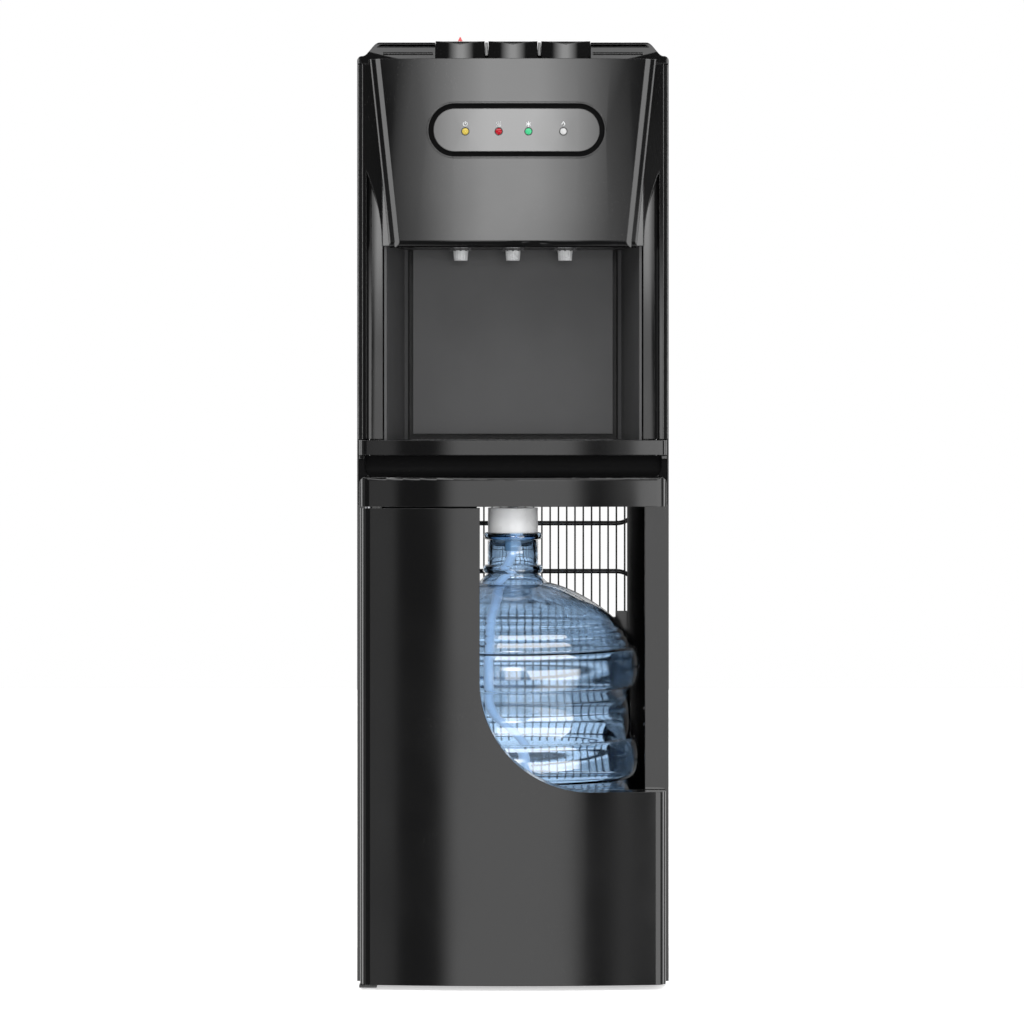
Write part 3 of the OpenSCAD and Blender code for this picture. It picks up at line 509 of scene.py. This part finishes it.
def print_white():
    s = Surface("print_white", (0.72, 0.73, 0.74), 0.4)
    s.vary_colour(900, (0.5, 0.51, 0.52))
    s.vary_roughness(400, 0.1)
    s.bump(3000, 0.003 * MM)
    return s.material


MATERIALS = {
    "gloss_black": gloss_black(),
    "painted_steel": painted_steel(),
    "matte_grey": matte_grey(),
    "bare_steel": bare_steel(),
    "stainless": stainless(),
    "black_rubber": black_rubber(),
    "clear_hose": milky_silicone(),
    "white_plastic": white_plastic(),
    "bottle_blue": blue_polycarbonate(),
    "lamp_yellow": lamp_lens("lamp_yellow", (0.5, 0.38, 0.06), 0.12),
    "lamp_red": lamp_lens("lamp_red", (0.36, 0.006, 0.015), 0.12),
    "lamp_green": lamp_lens("lamp_green", (0.05, 0.45, 0.2), 0.15),
    "lamp_white": lamp_lens("lamp_white", (0.5, 0.5, 0.5), 0.12),
    "circuit_green": circuit_green(),
    "foam_white": foam_white(),
    "copper": copper(),
    "black_plastic": black_plastic(),
    "red_plastic": coloured_plastic("red_plastic", (0.5, 0.008, 0.01)),
    "green_plastic": coloured_plastic("green_plastic", (0.02, 0.3, 0.09)),
}


def dress(piece, slot):
    """Gives a piece the finish of one of the record's material slots."""
    piece.data.materials.clear()
    piece.data.materials.append(MATERIALS[slot])
    return piece


def repaint(piece, material):
    piece.data.materials.clear()
    piece.data.materials.append(material)


for subpart in frame["record"]["subparts"]:
    dress(frame["nodes"][subpart["node"]], subpart["material_slot"])
# painted shade in the display's groove and in the fascia's finger scoop
repaint(frame["nodes"]["display_window"], gloss_black_shaded_recess("display_black", 4 * MM, 0.85))
repaint(frame["nodes"]["niche_liner"], liner_grey())
repaint(frame["nodes"]["front_fascia"], gloss_black_shaded_recess("fascia_black", 7 * MM, 0.5))


# ---- geometry helpers ---------------------------------------------------------------------------


def new_piece(name, mesh):
    piece = bpy.data.objects.new(name, mesh)
    SCENE.collection.objects.link(piece)
    return piece


def mesh_from(name, points, faces):
    mesh = bpy.data.meshes.new(name)
    mesh.from_pydata(points, [], faces)
    mesh.shade_smooth()
    mesh.update()
    return mesh


def turned(profile, segments, centre=(0, 0), flutes=0, depth=0.0):
    """Points and faces of a closed (radius, height) outline turned about an upright axis.

    Flutes are shallow grooves up the sides, cut to the given depth.
    """
    points = []
    for radius, height in profile:
        for k in range(segments):
            turn = 2 * math.pi * k / segments
            r = radius - depth * (0.5 + 0.5 * math.cos(flutes * turn)) if flutes else radius
            points.append((centre[0] + r * math.cos(turn), centre[1] + r * math.sin(turn), height))
    faces = []
    count = len(profile)
    for i in range(count):
        nxt = (i + 1) % count
        for k in range(segments):
            after = (k + 1) % segments
            faces.append((i * segments + k, i * segments + after,
                          nxt * segments + after, nxt * segments + k))
    return points, faces


def lathe(name, profile, segments):
    return mesh_from(name, *turned(profile, segments))


def front_surface(node, x, z):
    """The y of the node's foremost surface at (x, z)."""
    hit, place, _, _ = frame["nodes"][node].ray_cast(Vector((x, FRONT_Y - 0.1, z)), Vector((0, 1, 0)))
    return place.y if hit else FRONT_Y


def smooth_copy(node, slot):
    """A finer, rounder copy of a hose that the CAD part draws with flat sides."""
    source = frame["nodes"][node]
    work = bmesh.new()
    work.from_mesh(source.data)
    bmesh.ops.remove_doubles(work, verts=work.verts, dist=0.01 * MM)
    bmesh.ops.join_triangles(work, faces=work.faces, angle_face_threshold=0.35,
                             angle_shape_threshold=3.0)
    crease = work.edges.layers.float.get("crease_edge") or work.edges.layers.float.new("crease_edge")
    for edge in work.edges:
        if len(edge.link_faces) == 2 and edge.calc_face_angle() > math.radians(60):
            edge[crease] = 1.0
    mesh = bpy.data.meshes.new(node + "_smooth")
    work.to_mesh(mesh)
    work.free()
    mesh.shade_smooth()
    piece = new_piece(node + "_smooth", mesh)
    finer = piece.modifiers.new("finer", "SUBSURF")
    finer.levels = 2
    finer.render_levels = 2
    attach(piece, source["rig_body"])
    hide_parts(node)
    return dress(piece, slot)


# ---- display ------------------------------------------------------------------------------------

PRINT = print_white()
RIM = lamp_rim()
ICON_HEIGHT = 7.6 * MM  # above the middle of its lamp
LINE = 0.5 * MM
PAINT = 0.05 * MM  # how far the print stands proud of the display


def arc(radius, start, end, steps=14):
    """Points of an arc round the origin, in degrees clockwise from straight up."""
    angles = [math.radians(start + (end - start) * k / steps) for k in range(steps + 1)]
    return [(radius * math.sin(a), radius * math.cos(a)) for a in angles]


def spoke(angle, length):
    a = math.radians(angle)
    tip = (length * math.sin(a), length * math.cos(a))
    return [(-tip[0], -tip[1]), tip]


def wave(x, height):
    """A wavy upright line."""
    steps = 12
    return [(x + 0.35 * MM * math.sin(2 * math.pi * k / steps), height * (k / steps - 0.5))
            for k in range(steps + 1)]


def power_icon():
    return [arc(2.1 * MM, 35, 325), [(0, 0.4 * MM), (0, 2.6 * MM)]]


def heat_icon():
    return [wave(x, 4.2 * MM) for x in (-1.6 * MM, 0, 1.6 * MM)]


def cold_icon():
    return [spoke(angle, 2.4 * MM) for angle in (0, 60, 120)]


def drop_icon():
    tip = (0, 2.6 * MM)
    side, waist = 1.35 * MM, 0.1 * MM
    return [[tip, (-side, waist)], arc(1.6 * MM, -80, -280), [(side, waist), tip]]


def print_icon(name, lamp, lines):
    """Thin lines of paint that lie on the display's face above a lamp."""
    low_corner, high_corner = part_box(lamp)
    middle = (low_corner + high_corner) / 2
    centre = Vector((middle.x, middle.z + ICON_HEIGHT))
    points, faces = [], []
    for line in lines:
        for start, end in zip(line, line[1:]):
            start, end = centre + Vector(start), centre + Vector(end)
            along = (end - start).normalized() * LINE / 2
            across = Vector((-along.y, along.x))
            first = len(points)
            for x, z in (start - along + across, start - along - across,
                         end + along - across, end + along + across):
                points.append((x, front_surface("display_window", x, z) - PAINT, z))
            faces.append(tuple(range(first, first + 4)))
    piece = new_piece(name, mesh_from(name, points, faces))
    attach(piece, "cabinet")
    piece.data.materials.append(PRINT)


def lamp_ring(lamp):
    """Dark bezel round a lamp, in the gap between it and the display."""
    low_corner, high_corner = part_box(lamp)
    middle = (low_corner + high_corner) / 2
    radius = (high_corner.x - low_corner.x) / 2
    inner, outer = radius + 0.1 * MM, radius + 0.55 * MM
    root, edge, crown = -1.2 * MM, 0.1 * MM, 0.25 * MM
    profile = ((inner, root), (inner, edge), (inner + 0.15 * MM, crown),
               (outer - 0.1 * MM, crown), (outer, edge), (outer, root))
    above_hole = middle.z + radius + 1.2 * MM
    piece = new_piece(lamp + "_rim", lathe(lamp + "_rim", profile, 40))
    piece.location = (middle.x, front_surface("display_window", middle.x, above_hole), middle.z)
    piece.rotation_euler = (math.radians(90), 0, 0)
    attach(piece, "cabinet")
    piece.data.materials.append(RIM)


LAMP_ICONS = {
    "lamp_power": power_icon(),
    "lamp_heating": heat_icon(),
    "lamp_cold": cold_icon(),
    "lamp_empty": drop_icon(),
}

for lamp, lines in LAMP_ICONS.items():
    print_icon(lamp.replace("lamp", "icon"), lamp, lines)
    lamp_ring(lamp)


# ---- bottle -------------------------------------------------------------------------------------

RIB_HEIGHTS = (74 * MM, 150 * MM, 216 * MM, 312 * MM)  # of their middles, above the foot
RIB_HALF = 22 * MM
RIB_OUT = 9 * MM
SHOULDER_HEIGHT = 335 * MM
SHOULDER_RISE = 66 * MM
NECK_ROOT_RADIUS = 37 * MM
NECK_RADIUS = 27 * MM
NECK_RINGS = ((415.5 * MM, 4.5 * MM, 5.4 * MM), (451 * MM, 3.8 * MM, 4.3 * MM))  # middle, half, out
WALL = 4.5 * MM


def bulge(outline, base, foot, middle, half, out, power, steps):
    """Adds a rounded ring: the height of its middle above the foot, its half height and its reach."""
    for k in range(steps + 1):
        a = math.radians(-90 + 180 * k / steps)
        swell = out * max(0.0, math.cos(a)) ** power
        outline.append((base + swell, foot + middle + half * math.sin(a)))


def bottle_outline(low_corner, high_corner):
    """(radius, height) points up the bottle's outside: heel, ribs, stepped shoulder and ringed neck."""
    foot, mouth = low_corner.z, high_corner.z
    groove = high_corner.x - RIB_OUT
    heel = 14 * MM
    outline = []
    for k in range(13):
        a = math.radians(90 * k / 12)
        outline.append((groove - heel + heel * math.sin(a), foot + heel - heel * math.cos(a)))
    for middle in RIB_HEIGHTS:
        bulge(outline, groove, foot, middle, RIB_HALF, RIB_OUT, 0.7, 24)
    for k in range(46):
        a = math.radians(2 * k)
        radius = NECK_ROOT_RADIUS + (groove - NECK_ROOT_RADIUS) * math.cos(a) ** 1.5
        height = foot + SHOULDER_HEIGHT + SHOULDER_RISE * math.sin(a) ** 1.25
        is_step = 6 < k < 9 or 12 < k < 15
        outline.append((radius - (1.0 * MM if is_step else 0.0), height))
    for middle, half, out in NECK_RINGS:
        bulge(outline, NECK_RADIUS, foot, middle, half, out, 0.6, 8)
    outline[-1] = (outline[-1][0], mouth)
    return outline


def inner_wall(outline, thickness):
    """The outline moved inwards, with the slight waviness of a blown wall."""
    inside = []
    last = len(outline) - 1
    for i, (radius, height) in enumerate(outline):
        before, after = outline[max(0, i - 1)], outline[min(last, i + 1)]
        along = Vector((after[0] - before[0], after[1] - before[1])).normalized()
        depth = thickness * (1 + 0.15 * math.sin(height / (7 * MM)))
        inside.append((radius - along.y * depth, height + along.x * depth))
    return inside


def make_bottle():
    """The bottle as one hollow wall, open at the mouth and all but closed in the middle of its foot."""
    outline = bottle_outline(*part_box("bottle"))
    inside = inner_wall(outline, WALL)
    inside[-1] = (inside[-1][0], outline[-1][1])
    pinhole = 0.5 * MM
    profile = [(pinhole, outline[0][1])] + outline + inside[::-1] + [(pinhole, inside[0][1])]
    piece = new_piece("bottle_wall", lathe("bottle_wall", profile, 144))
    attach(piece, "cabinet")
    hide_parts("bottle")
    dress(piece, "bottle_blue")


def make_spouts():
    """Three spouts with fine ribs down their sides and a thin lip round the mouth."""
    low_corner, high_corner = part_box("spouts")
    middle = (low_corner + high_corner) / 2
    radius = (high_corner.y - low_corner.y) / 2
    bore, lip = radius - 2.9 * MM, radius - 1.2 * MM
    mouth, top = low_corner.z, high_corner.z
    profile = ((bore, mouth + 0.2 * MM), (lip, mouth), (lip + 0.3 * MM, mouth + 0.8 * MM),
               (lip + 0.4 * MM, mouth + 1.6 * MM), (radius, mouth + 12 * MM), (radius, top), (bore, top))
    points, faces = [], []
    for x in (low_corner.x + radius, middle.x, high_corner.x - radius):
        more, sides = turned(profile, 108, (x, middle.y), flutes=18, depth=0.4 * MM)
        faces += [tuple(len(points) + corner for corner in side) for side in sides]
        points += more
    piece = new_piece("ribbed_spouts", mesh_from("ribbed_spouts", points, faces))
    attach(piece, "cabinet")
    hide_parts("spouts")
    dress(piece, "clear_hose")
    repaint(piece, frosted_plastic())


make_bottle()
make_spouts()
repaint(smooth_copy("dip_tube", "clear_hose"), dip_tube_painted_glow())
smooth_copy("supply_hose", "clear_hose")
smooth_copy("tank_hoses", "clear_hose")


# ---- light and floor ----------------------------------------------------------------------------


def make_world():
    """White behind the object; for reflections, soft boxes by direction; even light for the rest."""
    world = bpy.data.worlds.new("studio")
    SCENE.world = world
    world.use_nodes = True
    world.cycles.sampling_method = "NONE"
    tree = world.node_tree
    split = add(tree, "SeparateXYZ")
    feed(tree, split.inputs[0], add(tree, "TexCoord").outputs["Generated"])
    x, y, z = split.outputs
    turn = math_node(tree, "ARCTAN2", x, math_node(tree, "MULTIPLY", y, -1.0))
    size = math_node(tree, "ABSOLUTE", turn)

    # the front box: narrow with firm edges in the door, wider and softer in the head
    low_box = smooth_step(tree, size, math.radians(8.3), math.radians(5.6), 0.0, LOW_BOX)
    high_box = ramp(tree, size, math.radians(12.6), math.radians(2.8), 0.0, HIGH_BOX)
    is_high = smooth_step(tree, z, 0.022, 0.04)
    boxes = math_node(tree, "MULTIPLY", math_node(tree, "SUBTRACT", high_box, low_box), is_high)
    boxes = math_node(tree, "ADD", boxes, low_box)

    def strip(start, end, soft, radiance):
        """A vertical soft box between two directions round the object, in degrees."""
        rise = smooth_step(tree, turn, math.radians(start - soft), math.radians(start + soft))
        fall = smooth_step(tree, turn, math.radians(end + soft), math.radians(end - soft))
        band = math_node(tree, "MULTIPLY", rise, fall)
        return math_node(tree, "MULTIPLY", band, radiance)

    # a bright wall on the right, whose near edge leans away further down, and a thin strip each side
    lean = math_node(tree, "MULTIPLY_ADD", math_node(tree, "MINIMUM", z, 0.0), -18.0, 12.2)
    lean = math_node(tree, "MULTIPLY", lean, math.radians(1))
    right = smooth_step(tree, math_node(tree, "SUBTRACT", turn, lean), 0.0, math.radians(0.9), 0.0, 3.1)
    far_edge = smooth_step(tree, turn, math.radians(66), math.radians(58))
    right = math_node(tree, "MULTIPLY", right, far_edge)
    for part in (strip(10.5, 13, 1.2, 0.6), strip(-15, -12.3, 0.6, 0.6)):
        right = math_node(tree, "ADD", right, part)
    right = math_node(tree, "MULTIPLY", right, math_node(tree, "SUBTRACT", 1.0, is_high))
    near = math_node(tree, "ADD", boxes, right)
    low_end, high_end = smooth_step(tree, z, -0.26, -0.2), smooth_step(tree, z, 0.17, 0.1)
    near = math_node(tree, "MULTIPLY", near, math_node(tree, "MULTIPLY", low_end, high_end))
    total = math_node(tree, "ADD", near, DIM)
    # boxes at the sides, behind, low in front and overhead
    sides = ((90, 113, 3, SIDE_BOX), (-113, -90, 3, SIDE_BOX), (66, 78, 5, 0.5), (-78, -62, 5, 0.5))
    rear = ((134, 172, 6, 1.0), (-172, -134, 6, 1.0))
    for band in sides + rear:
        total = math_node(tree, "ADD", total, strip(*band))
    below = math_node(tree, "ADD", strip(26, 58, 8, 1.1), strip(-58, -26, 8, 1.1))
    total = math_node(tree, "MULTIPLY_ADD", below, smooth_step(tree, z, -0.16, -0.24), total)
    over_low, over_high = smooth_step(tree, z, 0.42, 0.5), smooth_step(tree, z, 0.86, 0.78)
    overhead = math_node(tree, "MULTIPLY", over_low, over_high)
    total = math_node(tree, "MULTIPLY_ADD", overhead, 3.0, total)
    # the camera sees white, also through the bottle, and only reflections see the boxes
    path = add(tree, "LightPath")
    seen = math_node(tree, "MAXIMUM", path.outputs["Is Camera Ray"], path.outputs["Is Transmission Ray"])
    diffuse = smooth_step(tree, z, -0.3, 0.9, 0.6, 1.3)
    lit = math_node(tree, "SUBTRACT", total, diffuse)
    lit = math_node(tree, "MULTIPLY_ADD", lit, path.outputs["Is Glossy Ray"], diffuse)
    white = math_node(tree, "SUBTRACT", 1.0, lit)
    background = tree.nodes["Background"]
    feed(tree, background.inputs["Strength"], math_node(tree, "MULTIPLY_ADD", white, seen, lit))
    background.inputs["Color"].default_value = WHITE


def area_light(name, place, target, width, height, watts):
    data = bpy.data.lights.new(name, "AREA")
    data.shape = "RECTANGLE"
    data.size = width
    data.size_y = height
    data.energy = watts
    light = bpy.data.objects.new(name, data)
    light.location = place
    light.rotation_mode = "QUATERNION"
    light.rotation_quaternion = (Vector(target) - Vector(place)).to_track_quat("-Z", "Y")
    light.visible_glossy = False
    light.visible_camera = False
    light.visible_transmission = False
    SCENE.collection.objects.link(light)


def make_floor():
    """Pale floor that ends a little in front of the object, so the door doesn't mirror it."""
    near, far, side = FRONT_Y - 0.45, 4.0, 4.0
    corners = ((-side, near, 0), (side, near, 0), (side, far, 0), (-side, far, 0))
    floor = new_piece("floor", mesh_from("floor", corners, [(0, 1, 2, 3)]))
    s = Surface("floor", (0.95, 0.95, 0.95), 0.8)
    s.vary_roughness(3, 0.05)
    s.set("Emission Color", WHITE)
    s.set("Emission Strength", 0.45)
    floor.data.materials.append(s.material)
    floor.visible_glossy = False


make_world()
middle = (0, 0, high.z / 2)
area_light("key", (-1.6, -2.6, 2.4), middle, 1.4, 1.4, 30)
area_light("fill", (1.9, -2.4, 1.5), middle, 1.4, 1.8, 16)
area_light("front", (0.25, -3.2, 0.62), (0.05, 0, 0.42), 0.7, 0.7, 75)
make_floor()
